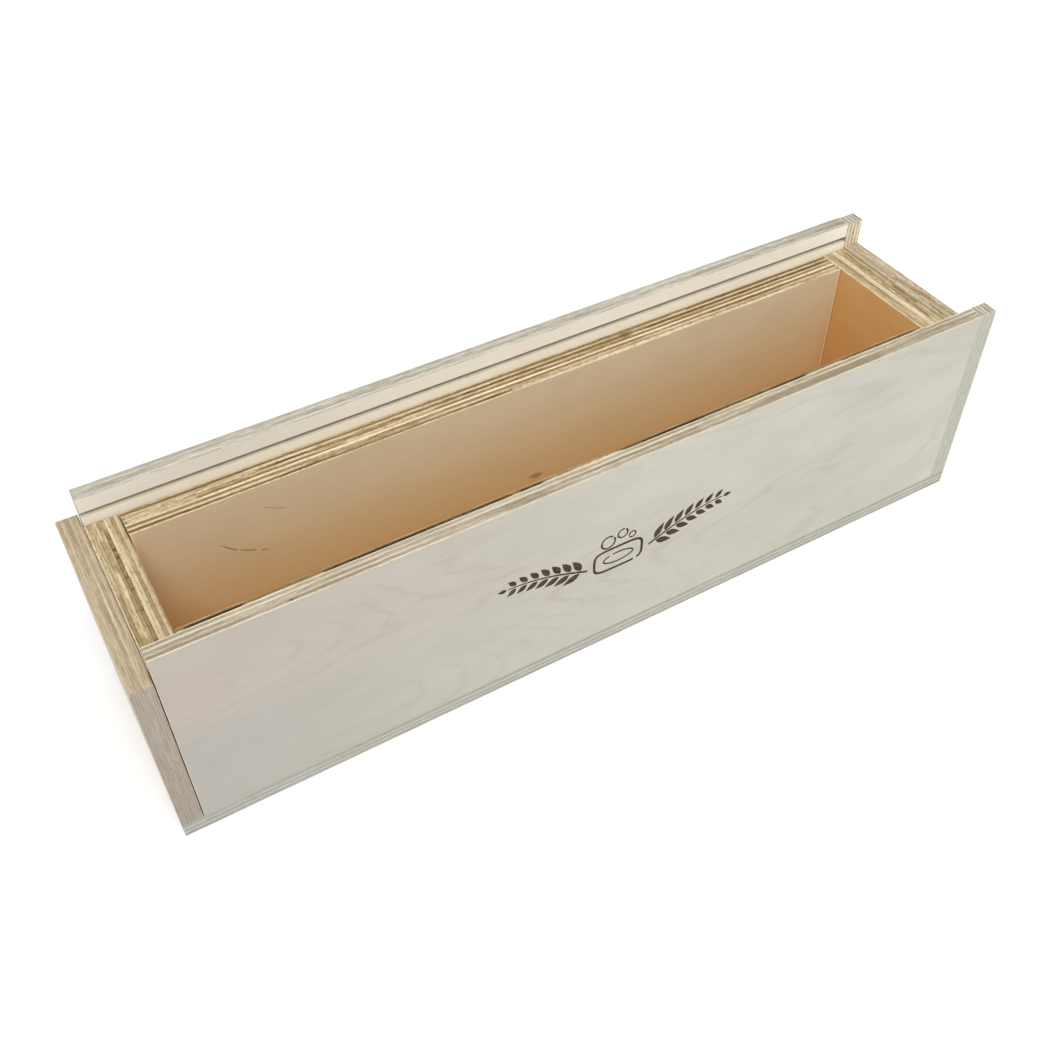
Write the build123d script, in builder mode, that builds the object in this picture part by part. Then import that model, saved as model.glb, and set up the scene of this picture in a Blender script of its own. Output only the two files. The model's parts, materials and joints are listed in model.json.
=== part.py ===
from build123d import *
import os

# A loaf mould for making soap: a birch plywood box, open at the top, with four thick
# plywood liner boards that drop in to give the loaf its width, and a groove for a sliding lid.
# Millimetres. +Z is up, +X runs along the loaf, and the front is -Y.
# The origin is at the middle of the underside.

# Driving dimensions
overall_length = 520.0
overall_depth = 125.5
panel_top = 137.0  # height of the long panels and of the two horns
end_top = 120.0  # height of the end boards and of the liner, under the lid
panel_ply = 9.5  # base board and long panels
end_ply = 11.5  # end boards
liner_ply = 17.5  # liner boards

# The fit of one board against the next
panel_end_gap = 0.4  # the front and back panels stop this short of the left end board
liner_side_gap = 1.0  # between a long liner board and its panel
liner_end_gap = 0.5  # between a short liner board and its end board
liner_joint_gap = 0.4  # where a long liner board meets a short one

# The groove that the lid slides in
groove_bottom = 124.5
groove_height = 3.4
groove_cut = 4.5

# Eased edges and the rounded corners
arris = 0.5
base_corner_radius = 2.0
horn_radius = 1.5

# Brads: 1.2 mm wire with a small head, set below the surface
brad_length = 30.0
brad_radius = 0.6
brad_head_radius = 1.1
brad_head_height = 0.6
brad_set = 0.5
end_brad_heights = (25.0, 65.0, 105.0)
base_brad_spacing = 100.0
base_brad_columns = 5
end_base_brad_spread = 60.0

# Sizes and places that follow from those above
half_length = overall_length / 2
half_depth = overall_depth / 2
end_inner_x = half_length - end_ply
panel_left_x = -end_inner_x + panel_end_gap
panel_length = end_inner_x - panel_left_x
panel_inner_y = half_depth - panel_ply
panel_middle_y = half_depth - panel_ply / 2
panel_height = panel_top - panel_ply
end_height = end_top - panel_ply
liner_end_inner_x = end_inner_x - liner_end_gap - liner_ply
long_liner_length = 2 * (liner_end_inner_x - liner_joint_gap)
short_liner_depth = 2 * (panel_inner_y - liner_side_gap)
brad_row_reach = overall_length - end_ply

os.makedirs("parts", exist_ok=True)

# Base board: lies under everything else, with its corners sanded round
with BuildPart() as base_board:
    with BuildSketch(Plane.XY):
        RectangleRounded(overall_length, overall_depth, base_corner_radius)
    extrude(amount=panel_ply)
    chamfer(base_board.faces().sort_by(Axis.Z)[0].edges(), arris)
    with BuildSketch(Plane.XY):
        with GridLocations(base_brad_spacing, 2 * panel_middle_y, base_brad_columns, 2):
            Circle(brad_head_radius)
        with GridLocations(brad_row_reach, end_base_brad_spread, 2, 2):
            Circle(brad_head_radius)
    extrude(amount=brad_set, mode=Mode.SUBTRACT)

# Front panel: stands on the base between the end boards, grooved on its inner face
with BuildPart() as front_panel:
    with BuildSketch(Plane.YZ.offset(panel_left_x)):
        with Locations((-panel_middle_y, panel_ply + panel_height / 2)):
            Rectangle(panel_ply, panel_height)
        with Locations((-panel_inner_y - groove_cut / 2, groove_bottom + groove_height / 2)):
            Rectangle(groove_cut, groove_height, mode=Mode.SUBTRACT)
    extrude(amount=panel_length)
    panel_top_face = front_panel.faces().sort_by(Axis.Z)[-1]
    chamfer(panel_top_face.edges().filter_by(Axis.X), arris)

# Back panel: the front panel's mirror image
with BuildPart() as back_panel:
    mirror(front_panel.part, about=Plane.XZ)

# Left end board: covers the panels' ends and stops low, so that the lid slides out over it
with BuildPart() as left_end_board:
    with BuildSketch(Plane.YZ.offset(-half_length)):
        with Locations((0, panel_ply + end_height / 2)):
            Rectangle(overall_depth, end_height)
    extrude(amount=end_ply)
    chamfer(left_end_board.faces().sort_by(Axis.Z)[-1].edges(), arris)
    chamfer(left_end_board.faces().sort_by(Axis.X)[0].edges().filter_by(Axis.Z), arris)
    with BuildSketch(Plane.YZ.offset(-half_length)):
        for height in end_brad_heights:
            with Locations((-panel_middle_y, height), (panel_middle_y, height)):
                Circle(brad_head_radius)
    extrude(amount=brad_set, mode=Mode.SUBTRACT)

# Right end board: as tall as the panels, notched down between them, so that two horns
# stand beside the notch and close the groove
with BuildPart() as right_end_board:
    with BuildSketch(Plane.YZ.offset(end_inner_x)):
        with Locations((0, panel_ply + panel_height / 2)):
            Rectangle(overall_depth, panel_height)
        with Locations((0, (end_top + panel_top) / 2)):
            Rectangle(2 * panel_inner_y, panel_top - end_top, mode=Mode.SUBTRACT)
    extrude(amount=end_ply)
    outer_face = right_end_board.faces().sort_by(Axis.X)[-1]
    horn_tops = outer_face.edges().filter_by(Axis.Y).group_by(Axis.Z)[-1]
    fillet(horn_tops, horn_radius)
    outer_edges = right_end_board.edges().filter_by(Axis.Z).group_by(Axis.X)[-1]
    chamfer(outer_edges.group_by(Axis.Y)[0] + outer_edges.group_by(Axis.Y)[-1], arris)
    with BuildSketch(Plane.YZ.offset(half_length)):
        for height in end_brad_heights:
            with Locations((-panel_middle_y, height), (panel_middle_y, height)):
                Circle(brad_head_radius)
    extrude(amount=-brad_set, mode=Mode.SUBTRACT)

# Left liner board: a loose thick board across the box, against the left end board
with BuildPart() as left_liner_board:
    with BuildSketch(Plane.YZ.offset(-end_inner_x + liner_end_gap)):
        with Locations((0, panel_ply + end_height / 2)):
            Rectangle(short_liner_depth, end_height)
    extrude(amount=liner_ply)
    chamfer(left_liner_board.faces().sort_by(Axis.Z)[-1].edges(), arris)

# Right liner board: the left one's mirror image
with BuildPart() as right_liner_board:
    mirror(left_liner_board.part, about=Plane.YZ)

# Front liner board: a loose thick board along the front panel, between the two short ones
with BuildPart() as front_liner_board:
    with BuildSketch(Plane.YZ.offset(-long_liner_length / 2)):
        with Locations((-panel_inner_y + liner_side_gap + liner_ply / 2, panel_ply + end_height / 2)):
            Rectangle(liner_ply, end_height)
    extrude(amount=long_liner_length)
    chamfer(front_liner_board.faces().sort_by(Axis.Z)[-1].edges(), arris)

# Back liner board: the front one's mirror image
with BuildPart() as back_liner_board:
    mirror(front_liner_board.part, about=Plane.XZ)

# Left end brads: hold the left end board to the ends of the two panels
with BuildPart() as left_end_brads:
    brad_start = Plane.YZ.offset(-half_length + brad_set)
    for radius, length in ((brad_radius, brad_length), (brad_head_radius, brad_head_height)):
        with BuildSketch(brad_start):
            for height in end_brad_heights:
                with Locations((-panel_middle_y, height), (panel_middle_y, height)):
                    Circle(radius)
        extrude(amount=length)

# Right end brads: the same at the other end
with BuildPart() as right_end_brads:
    mirror(left_end_brads.part, about=Plane.YZ)

# Base brads: driven up through the base board into the panels and the end boards
with BuildPart() as base_brads:
    for radius, length in ((brad_radius, brad_length), (brad_head_radius, brad_head_height)):
        with BuildSketch(Plane.XY.offset(brad_set)):
            with GridLocations(base_brad_spacing, 2 * panel_middle_y, base_brad_columns, 2):
                Circle(radius)
            with GridLocations(brad_row_reach, end_base_brad_spread, 2, 2):
                Circle(radius)
        extrude(amount=length)

pieces = {
    "base_board": base_board,
    "front_panel": front_panel,
    "back_panel": back_panel,
    "left_end_board": left_end_board,
    "right_end_board": right_end_board,
    "front_liner_board": front_liner_board,
    "back_liner_board": back_liner_board,
    "left_liner_board": left_liner_board,
    "right_liner_board": right_liner_board,
    "left_end_brads": left_end_brads,
    "right_end_brads": right_end_brads,
    "base_brads": base_brads,
}
for name, piece in pieces.items():
    piece.part.label = name
    export_step(piece.part, f"parts/{name}.step")

print("cavity length", 2 * liner_end_inner_x, "width", 2 * (panel_inner_y - liner_side_gap - liner_ply))
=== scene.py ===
# %% [markdown]
# # A loaf mould for soap
#
# The real thing is a long, narrow box of bare birch plywood. Four thick liner boards drop
# inside it and make the cavity that the soap, or a silicone liner, goes in. Two grooves near
# the top take a sliding lid. Nothing is painted, so the whole look is in the wood: pale peeled
# faces, striped sawn edges, small gaps in the core, and boards that don't meet perfectly.
#
# The design is finished before this lesson starts, and it is loaded as a fixed frame. Each board
# is then built again in the same place, with the detail that a saw and sandpaper leave.

# %% Load the finished design
import json
import math
import random
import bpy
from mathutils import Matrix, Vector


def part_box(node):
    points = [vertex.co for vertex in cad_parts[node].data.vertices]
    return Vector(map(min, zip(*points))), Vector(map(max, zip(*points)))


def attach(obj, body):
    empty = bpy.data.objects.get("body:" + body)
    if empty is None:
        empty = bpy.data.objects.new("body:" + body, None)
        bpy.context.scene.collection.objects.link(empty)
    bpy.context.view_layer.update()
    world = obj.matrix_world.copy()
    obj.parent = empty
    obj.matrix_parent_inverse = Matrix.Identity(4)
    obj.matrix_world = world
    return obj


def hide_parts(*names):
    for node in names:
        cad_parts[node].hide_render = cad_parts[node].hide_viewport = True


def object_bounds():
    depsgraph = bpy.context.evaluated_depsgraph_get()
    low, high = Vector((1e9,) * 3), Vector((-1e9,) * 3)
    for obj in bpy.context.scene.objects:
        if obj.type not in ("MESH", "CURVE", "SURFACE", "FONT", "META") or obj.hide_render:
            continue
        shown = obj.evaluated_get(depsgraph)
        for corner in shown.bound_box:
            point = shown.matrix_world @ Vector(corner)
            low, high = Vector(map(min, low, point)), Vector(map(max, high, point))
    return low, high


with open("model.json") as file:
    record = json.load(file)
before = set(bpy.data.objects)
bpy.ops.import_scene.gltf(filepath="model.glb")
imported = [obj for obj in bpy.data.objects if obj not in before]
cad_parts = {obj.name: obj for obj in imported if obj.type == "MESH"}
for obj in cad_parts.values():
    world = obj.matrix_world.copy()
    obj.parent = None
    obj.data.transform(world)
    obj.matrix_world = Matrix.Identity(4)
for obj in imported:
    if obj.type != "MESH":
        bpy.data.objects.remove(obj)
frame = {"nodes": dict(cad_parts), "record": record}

from types import SimpleNamespace

import bmesh
import bpy
from mathutils import Quaternion, Vector, noise

mm = 0.001
design_low, design_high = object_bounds()
print("design, mm:", [round(side / mm, 1) for side in design_high - design_low])

# %% [markdown]
# ## The camera
#
# The box is seen from above its low left end, with a slightly wide lens, so the far end looks
# much smaller than the near one. A camera is easiest to place the way a tripod is: pick the point
# it looks at, then how far round, how high and how far away it stands. The small roll is there
# because a camera held in the hand is never quite level.

# %% Place the camera
aim = Vector((-27.2, -8.8, 60.0)) * mm
distance = 680.2 * mm
turned = math.radians(-29.74)
raised = math.radians(45.62)
roll = math.radians(-0.58)

away = Vector((math.sin(turned) * math.cos(raised), -math.cos(turned) * math.cos(raised), math.sin(raised)))
camera = bpy.data.objects.new("camera", bpy.data.cameras.new("camera"))
camera.data.sensor_width = 36.0
camera.data.lens = 40.74
camera.data.clip_start = 0.01
camera.location = aim + away * distance
camera.rotation_mode = "QUATERNION"
camera.rotation_quaternion = (-away).to_track_quat("-Z", "Y") @ Quaternion((0, 0, 1), roll)
bpy.context.scene.collection.objects.link(camera)
bpy.context.scene.camera = camera
print("camera stands at, mm:", [round(x / mm) for x in camera.location])

# %% [markdown]
# ## Colours and material nodes
#
# Wood colours are picked on a screen, so they are written here as screen colours from 0 to
# 255 and turned into the linear values that the renderer adds and multiplies. Two more small
# helpers keep the materials readable: one adds a node with its inputs already connected, and one
# does a single sum.

# %% Helpers for colours and nodes
def screen(red, green, blue):
    """A screen colour, 0 to 255, as the linear colour a material takes."""
    parts = [channel / 255 for channel in (red, green, blue)]
    return [c / 12.92 if c <= 0.04045 else ((c + 0.055) / 1.055) ** 2.4 for c in parts] + [1.0]


def node(tree, kind, inputs=None, **settings):
    """Adds a node. An input is a number, a colour or another node's output."""
    made = tree.nodes.new("ShaderNode" + kind)
    for name, value in settings.items():
        setattr(made, name, value)
    for name, value in (inputs or {}).items():
        if isinstance(value, bpy.types.NodeSocket):
            tree.links.new(value, made.inputs[name])
        else:
            made.inputs[name].default_value = value
    return made


def sum_of(tree, operation, *values, clamp=False):
    """The result of one Math node."""
    made = node(tree, "Math", dict(enumerate(values)), operation=operation, use_clamp=clamp)
    return made.outputs[0]


def between(tree, value, low, high, to_low=0.0, to_high=1.0):
    """value, taken from low..high to to_low..to_high, smoothly, and held there outside."""
    limits = {"Value": value, "From Min": low, "From Max": high, "To Min": to_low, "To Max": to_high}
    return node(tree, "MapRange", limits, interpolation_type="SMOOTHSTEP").outputs[0]


def blend(tree, share, first, second):
    """A colour between two others."""
    made = node(tree, "Mix", {"Factor": share}, data_type="RGBA")
    for name, value in (("A", first), ("B", second)):
        socket = next(s for s in made.inputs if s.name == name and s.type == "RGBA")
        if isinstance(value, bpy.types.NodeSocket):
            tree.links.new(value, socket)
        else:
            socket.default_value = value
    return next(s for s in made.outputs if s.type == "RGBA")


print("middle grey on the screen, as linear light:", round(screen(128, 128, 128)[0], 3))

# %% [markdown]
# A new material starts with one plain shader. Two more helpers tell it where on the wood it is: the
# place of each point, and a soft random pattern laid out in the same metres, so that it can be
# stretched along the grain. Both are measured on the piece itself, so they move with a lifted board.

# %% An empty material, places and patterns
def new_material(name):
    """An empty material: its node tree and its one shader."""
    material = bpy.data.materials.new(name)
    material.use_nodes = True
    tree = material.node_tree
    shader = next(n for n in tree.nodes if n.type == "BSDF_PRINCIPLED")
    return material, tree, shader


def place_of(tree):
    """The x, y and z of each point, in the metres of the design."""
    return node(tree, "SeparateXYZ", {"Vector": node(tree, "TexCoord").outputs["Object"]}).outputs


def pattern(tree, steps, seed, detail=2.0, roughness=0.5):
    """Soft noise with its own spacing along x, y and z: steps are cycles per metre."""
    place = node(tree, "TexCoord").outputs["Object"]
    start = (seed, seed * 1.7, seed * 0.6)
    mapped = node(tree, "Mapping", {"Vector": place, "Scale": steps, "Location": start})
    inputs = {"Vector": mapped.outputs[0], "Scale": 1.0, "Detail": detail, "Roughness": roughness}
    return node(tree, "TexNoise", inputs).outputs["Fac"]


print(f"100 cycles per metre give a pattern with a step of {1 / 100 / mm:.0f} mm")

# %% [markdown]
# ## The peeled face of birch plywood
#
# The outer veneer of birch plywood is peeled off a turning log, so its growth rings show as faint
# wandering lines, like the contour lines of a map, and not as straight stripes. That is just how
# they are made here: a soft noise, stretched along the grain, is the land, and a thin line is drawn
# wherever it crosses a whole number. Broad changes of tone, fine fibres and short brown flecks go
# on top. All of it stays low in contrast, because birch is a quiet wood.

# %% The veneer material
ring_steps = (2.2, 9.0)


def axis_steps(along_axis, along, across):
    """Spacing for a pattern that is stretched along one axis."""
    steps = [across] * 3
    steps[along_axis] = along
    return steps


def contour_lines(tree, grain, seed, lines, sharpness):
    """Share of a growth-ring line at each point of the veneer."""
    land = pattern(tree, axis_steps(grain, *ring_steps), seed, detail=1.0)
    ragged = pattern(tree, axis_steps(grain, 28.0, 110.0), seed + 1, detail=2.0)
    level = sum_of(tree, "MULTIPLY_ADD", ragged, 0.035, land)
    wave = sum_of(tree, "SINE", sum_of(tree, "MULTIPLY", level, 2 * math.pi * lines))
    line = sum_of(tree, "POWER", sum_of(tree, "MULTIPLY_ADD", wave, 0.5, 0.5), sharpness)
    shown = between(tree, pattern(tree, axis_steps(grain, 9.0, 30.0), seed + 2), 0.42, 0.62)
    return sum_of(tree, "MULTIPLY", line, shown)


def veneer(name, grain, pale, deep, seed, rings=0.3, left_tint_and_shade=None, painted_foot_bounce=None, marks=()):
    """A peeled birch face. grain is the axis that the fibres follow. The pair of colours that the board's
    low end takes, high up and low down, is a tint with painted shade; the colour near its foot is painted
    warm bounce light."""
    material, tree, shader = new_material(name)
    tone = pattern(tree, axis_steps(grain, 4.0, 12.0), seed + 3, detail=2.0)
    mottle = pattern(tree, axis_steps(grain, 26.0, 60.0), seed + 9, detail=3.0, roughness=0.6)
    fibre = pattern(tree, axis_steps(grain, 45.0, 640.0), seed + 5, detail=3.0, roughness=0.6)
    fleck = between(tree, pattern(tree, axis_steps(grain, 160.0, 900.0), seed + 7), 0.73, 0.79)

    share = sum_of(tree, "MULTIPLY", contour_lines(tree, grain, seed, 30.0, 9.0), rings)
    share = sum_of(tree, "ADD", share, between(tree, tone, 0.3, 0.7, 0.0, 0.55))
    share = sum_of(tree, "ADD", share, between(tree, mottle, 0.3, 0.7, -0.12, 0.2))
    share = sum_of(tree, "ADD", share, between(tree, fibre, 0.3, 0.7, -0.05, 0.06), clamp=True)
    colour = blend(tree, share, pale, deep)
    place = place_of(tree)
    uneven = sum_of(tree, "SUBTRACT", tone, 0.5)
    # Painted shade with a tint: the face turns darker towards the low end of its grain.
    if left_tint_and_shade:
        level = sum_of(tree, "MULTIPLY_ADD", uneven, 0.06, place[2])
        low_end = blend(tree, between(tree, level, 0.05, 0.10), left_tint_and_shade[1], left_tint_and_shade[0])
        low_end = blend(tree, sum_of(tree, "MULTIPLY", share, 0.25), low_end, screen(150, 138, 124))
        reach = sum_of(tree, "MULTIPLY_ADD", uneven, 0.25, place[grain])
        colour = blend(tree, between(tree, reach, -0.27, 0.03, 0.92, 0.0), colour, low_end)
    # Painted warm bounce light: the face turns more orange close to its foot.
    if painted_foot_bounce:
        reach = sum_of(tree, "MULTIPLY_ADD", uneven, 0.03, place[2])
        colour = blend(tree, between(tree, reach, 0.03, 0.115, 0.95, 0.0), colour, painted_foot_bounce)
    colour = blend(tree, sum_of(tree, "MULTIPLY", fleck, 0.35), colour, screen(146, 110, 72))
    for mark, mark_colour in marks:
        colour = blend(tree, mark(tree, grain, seed), colour, mark_colour)
    tree.links.new(colour, shader.inputs["Base Color"])
    tree.links.new(between(tree, fibre, 0.3, 0.7, 0.55, 0.68), shader.inputs["Roughness"])
    shader.inputs["Specular IOR Level"].default_value = 0.25

    height = sum_of(tree, "MULTIPLY_ADD", fleck, -0.6, fibre)
    relief = {"Height": height, "Strength": 0.4, "Distance": 0.05 * mm}
    tree.links.new(node(tree, "Bump", relief).outputs[0], shader.inputs["Normal"])
    return material


print("a group of rings, mm along and across the grain:", [round(1 / step / mm) for step in ring_steps])

# %% [markdown]
# Some marks belong to one place on one face. Two are accidents of the tree: a mineral streak, which
# is a thin brown line that bends and fades, and a pin knot. The other two are plain areas: the low
# part of a face, used for painted warm bounce light, and its two ends, which are paler where the
# corners have rubbed clean. Each mark is a function that answers "how much of it is here?", and the
# veneer blends in its colour that much.

# %% A mineral streak, a pin knot, a low strip and rubbed ends
def streak_at(start, reach, rise, width):
    """A brown line that climbs from start (x, z) towards lower x, more and more steeply."""
    def share(tree, grain, seed):
        place = place_of(tree)
        along = sum_of(tree, "DIVIDE", sum_of(tree, "SUBTRACT", start[0], place[grain]), reach)
        bend = sum_of(tree, "MULTIPLY_ADD", along, along, along)
        climb = sum_of(tree, "MULTIPLY", bend, rise / 2)
        wander = between(tree, pattern(tree, (90, 90, 90), seed + 11), 0.2, 0.8, -0.8 * mm, 0.8 * mm)
        above = sum_of(tree, "SUBTRACT", sum_of(tree, "SUBTRACT", place[2], start[1]), climb)
        away = sum_of(tree, "ABSOLUTE", sum_of(tree, "ADD", above, wander))
        beside = between(tree, away, 0.0, width, 0.8, 0.0)
        begun = between(tree, along, -0.15, 0.15)
        ended = between(tree, along, 0.85, 1.1, 1.0, 0.0)
        broken = between(tree, pattern(tree, (170, 170, 170), seed + 13), 0.36, 0.52)
        drawn = sum_of(tree, "MULTIPLY", beside, broken)
        return sum_of(tree, "MULTIPLY", drawn, sum_of(tree, "MULTIPLY", begun, ended))
    return share


def knot_at(middle, length, height):
    """A small dark spot, longer along the grain than across it."""
    def share(tree, grain, seed):
        place = place_of(tree)
        along = sum_of(tree, "DIVIDE", sum_of(tree, "SUBTRACT", place[grain], middle[0]), length / 2)
        across = sum_of(tree, "DIVIDE", sum_of(tree, "SUBTRACT", place[2], middle[1]), height / 2)
        squares = [sum_of(tree, "MULTIPLY", value, value) for value in (along, across)]
        ragged = between(tree, pattern(tree, (400, 400, 400), seed + 17), 0.3, 0.7, -0.5, 0.7)
        away = sum_of(tree, "ADD", sum_of(tree, "ADD", *squares), ragged)
        return between(tree, away, 0.2, 1.7, 0.55, 0.0)
    return share


def under(level):
    """The part of a face below this height, just under half covered."""
    def share(tree, grain, seed):
        place = place_of(tree)
        return between(tree, place[2], level - 1 * mm, level, 0.45, 0.0)
    return share


def rubbed_beyond(end):
    """The last strip of a face, past this distance from the middle of the box on either side."""
    def share(tree, grain, seed):
        place = place_of(tree)
        away = sum_of(tree, "ABSOLUTE", place[grain])
        return between(tree, away, end, end + 0.3 * mm, 0.0, 0.75)
    return share


print("marks:", ", ".join(mark.__name__ for mark in (streak_at, knot_at, under, rubbed_beyond)))

# %% [markdown]
# ## The sawn edge of plywood
#
# Cut through, plywood shows every veneer as a thin stripe. Every second one is cut across its
# fibres, so it drinks light and looks browner. The others show their side and stay pale. The
# stripe that a point lies in is its depth through the board, divided by a veneer's thickness, so
# the material counts veneers instead of painting lines. The two face veneers are sanded
# thinner than the rest. One tone for each veneer keeps neighbouring boards from
# looking like copies: 0 is brown, 1 is pale, more than 1 is nearly white and less than 0 is a gap.
# Each board's shape brings a second number, called "stripe", that says where along the board a
# veneer turns paler or darker than its usual tone.
#
# Three more things are read from the place itself. At the two ends of a board the pale and the brown
# veneers change places. The walls of a deep gap are painted dark brown: painted shade. And the edges
# along the front of the box are painted greyer: painted cool shade, as from a cool light in front.

# %% The tone of each veneer
sanded = 0.6


def veneer_depths(thickness, veneers):
    """(thickness of a face veneer, thickness of a core veneer)."""
    core = thickness / (veneers - 2 + 2 * sanded)
    return sanded * core, core


def tone_of(tree, share, tones):
    """One tone for each veneer, in steps. share is the depth through the board, from 0 to 1."""
    ramp = node(tree, "ValToRGB", {"Fac": share})
    ramp.color_ramp.interpolation = "CONSTANT"
    for count in range(2, len(tones)):
        ramp.color_ramp.elements.new(count / len(tones))
    for count, tone in enumerate(tones):
        stop = ramp.color_ramp.elements[count]
        stop.position = count / len(tones)
        stop.color = (tone, tone, tone, 1.0)
    return ramp.outputs["Color"]


def stripes(tree, low, high, run, through, tones, end_tones, seed):
    """(tone of the veneer at each point, how far into that veneer the point is, from 0 to 1)."""
    face, core = veneer_depths(high[through] - low[through], len(tones))
    normal = node(tree, "SeparateXYZ", {"Vector": node(tree, "NewGeometry").outputs["True Normal"]}).outputs
    wander = between(tree, pattern(tree, (30, 30, 30), seed + 4), 0.2, 0.8, -0.1, 0.1)
    depth = sum_of(tree, "SUBTRACT", place_of(tree)[through], low[through] + face)
    depth = sum_of(tree, "ADD", sum_of(tree, "DIVIDE", depth, core), 1.0)
    depth = sum_of(tree, "ADD", depth, wander)
    share = sum_of(tree, "DIVIDE", depth, float(len(tones)))
    shift = node(tree, "Attribute", attribute_name="stripe").outputs["Fac"]
    long_edge = sum_of(tree, "ADD", tone_of(tree, share, tones), shift)
    short_edge = tone_of(tree, share, end_tones or [0.8 - 0.5 * tone for tone in tones])
    at_end = sum_of(tree, "GREATER_THAN", sum_of(tree, "ABSOLUTE", normal[run]), 0.8)
    choice = {"Factor": at_end, "A": long_edge, "B": short_edge}
    tone = node(tree, "Mix", choice, data_type="FLOAT").outputs[0]
    return tone, sum_of(tree, "FRACT", depth)


panel_face, panel_core = veneer_depths(9.5 * mm, 7)
print(f"9.5 mm plywood, mm: face veneer {panel_face / mm:.2f}, core veneer {panel_core / mm:.2f}")

# %% [markdown]
# The tone only says how brown a veneer is. The saw and the open fibres do the rest: fine streaks
# along the veneer, dark pits in the brown ones, a broken dark line at each glue joint, and patches
# where the saw has torn more than it cut.

# %% The sawn edge material
# Painted cool shade on front edges: how strongly the grey is painted, and over what depth it fades.
painted_front_shade_share = 0.62
painted_front_shade_depth = (0.7 * mm, 1.2 * mm)


def sawn(name, node_name, run, through, tones, seed, pale, brown, dark, rough=0.2, end_tones=None,
         painted_front_shade=None):
    """The striped edge of one board. run is the axis of its length and through that of its thickness.
    end_tones are its tones at the two ends, and the grey given for its front edge is painted cool shade."""
    low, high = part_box(node_name)
    material, tree, shader = new_material(name)
    tone, inside = stripes(tree, low, high, run, through, tones, end_tones, seed)
    lengthways = [120.0] * 3
    lengthways[through] = 1500.0
    streaks = pattern(tree, lengthways, seed, detail=3.0, roughness=0.6)
    specks = pattern(tree, (1300.0, 1300.0, 1300.0), seed + 2, detail=2.0)

    grain = between(tree, streaks, 0.3, 0.7, 0.16, -0.2)
    paleness = between(tree, sum_of(tree, "ADD", tone, grain), 0.0, 1.0)
    colour = blend(tree, paleness, brown, pale)
    nearly_white = between(tree, tone, 1.0, 1.5, 0.0, 0.8)
    colour = blend(tree, nearly_white, colour, screen(252, 236, 206))
    pits = between(tree, specks, 0.52, 0.7)
    pits = sum_of(tree, "MULTIPLY", pits, sum_of(tree, "SUBTRACT", 1.0, paleness))
    colour = blend(tree, sum_of(tree, "MULTIPLY", pits, 0.5), colour, dark)
    # Painted cool shade: the edge turns greyer close to the front of the box.
    if painted_front_shade:
        from_front = sum_of(tree, "SUBTRACT", place_of(tree)[1], low.y)
        colour = blend(tree, between(tree, from_front, *painted_front_shade_depth, painted_front_shade_share, 0.0), colour, painted_front_shade)

    to_line = sum_of(tree, "MINIMUM", inside, sum_of(tree, "SUBTRACT", 1.0, inside))
    line = between(tree, to_line, 0.02, 0.14, 1.0, 0.0)
    line = sum_of(tree, "MULTIPLY", line, between(tree, streaks, 0.3, 0.62, 0.05, 0.55))
    colour = blend(tree, line, colour, dark)
    patchy = pattern(tree, axis_steps(run, 300.0, 800.0), seed + 6, detail=4.0, roughness=0.7)
    patch = sum_of(tree, "MULTIPLY", between(tree, patchy, 0.54, 0.64), rough)
    colour = blend(tree, patch, colour, dark)
    # Painted shade in the sunk gaps of the core, and the dark of squeezed-out glue: a tone under 0 turns
    # dark brown.
    gap = between(tree, tone, -0.6, -0.1, 0.95, 0.0)
    colour = blend(tree, gap, colour, screen(62, 40, 20))
    tree.links.new(colour, shader.inputs["Base Color"])
    shader.inputs["Roughness"].default_value = 0.85
    shader.inputs["Specular IOR Level"].default_value = 0.06

    height = sum_of(tree, "MULTIPLY_ADD", specks, 0.5, sum_of(tree, "MULTIPLY", streaks, 0.5))
    height = sum_of(tree, "MULTIPLY_ADD", line, -0.6, height)
    relief = {"Height": height, "Strength": 0.7, "Distance": 0.12 * mm}
    tree.links.new(node(tree, "Bump", relief).outputs[0], shader.inputs["Normal"])
    return material


print("a front edge's grey fades out between, mm:", [round(depth / mm, 1) for depth in painted_front_shade_depth])

# %% [markdown]
# ## The shape of one plywood board
#
# A box with six flat sides never looks like plywood, because a saw leaves each veneer at its own
# height, sandpaper rounds the edges unevenly, and the core has gaps where a veneer stops short.
# All of that runs along the board, so the board is drawn as a row of cross-sections, like
# the ribs of a boat. Each rib goes round the board once: along the lower edge, up one face, along
# the upper edge and down the other face. Every veneer has two points on each edge, so it can sit
# a little lower than its neighbour, or drop right in to make a gap.
#
# What happens to one veneer along the way is called an event: from here to there it sinks this
# deep and turns this much darker or paler.

# %% Marks on an edge, and places for the ribs
half_glue_line = 0.08 * mm


def edge_marks(thickness, veneers, ease):
    """(veneer, depth through the board) of each point on a sawn edge, from one face to the other."""
    face, core = veneer_depths(thickness, veneers)
    first = [(0, 0.0), (0, 0.08 * ease), (0, 0.3 * ease), (0, ease), (0, face - half_glue_line)]
    inner = []
    for number in range(1, veneers - 1):
        start = face + (number - 1) * core
        inner += [(number, start + half_glue_line), (number, start + core - half_glue_line)]
    last = [(veneers - 1, thickness - depth) for _, depth in reversed(first)]
    return first + inner + last


def rounded_off(from_face, radius):
    """How far an edge rounded to this radius has dropped, at this depth in from the face."""
    if from_face >= radius:
        return 0.0
    return radius - math.sqrt(radius ** 2 - (radius - from_face) ** 2)


def along_outline(outline, place):
    """The height that a list of (place, height) corners gives at one place."""
    for (start, low), (end, high) in zip(outline, outline[1:]):
        if place <= end:
            return low + (high - low) * (place - start) / (end - start)
    return outline[-1][1]


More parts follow.
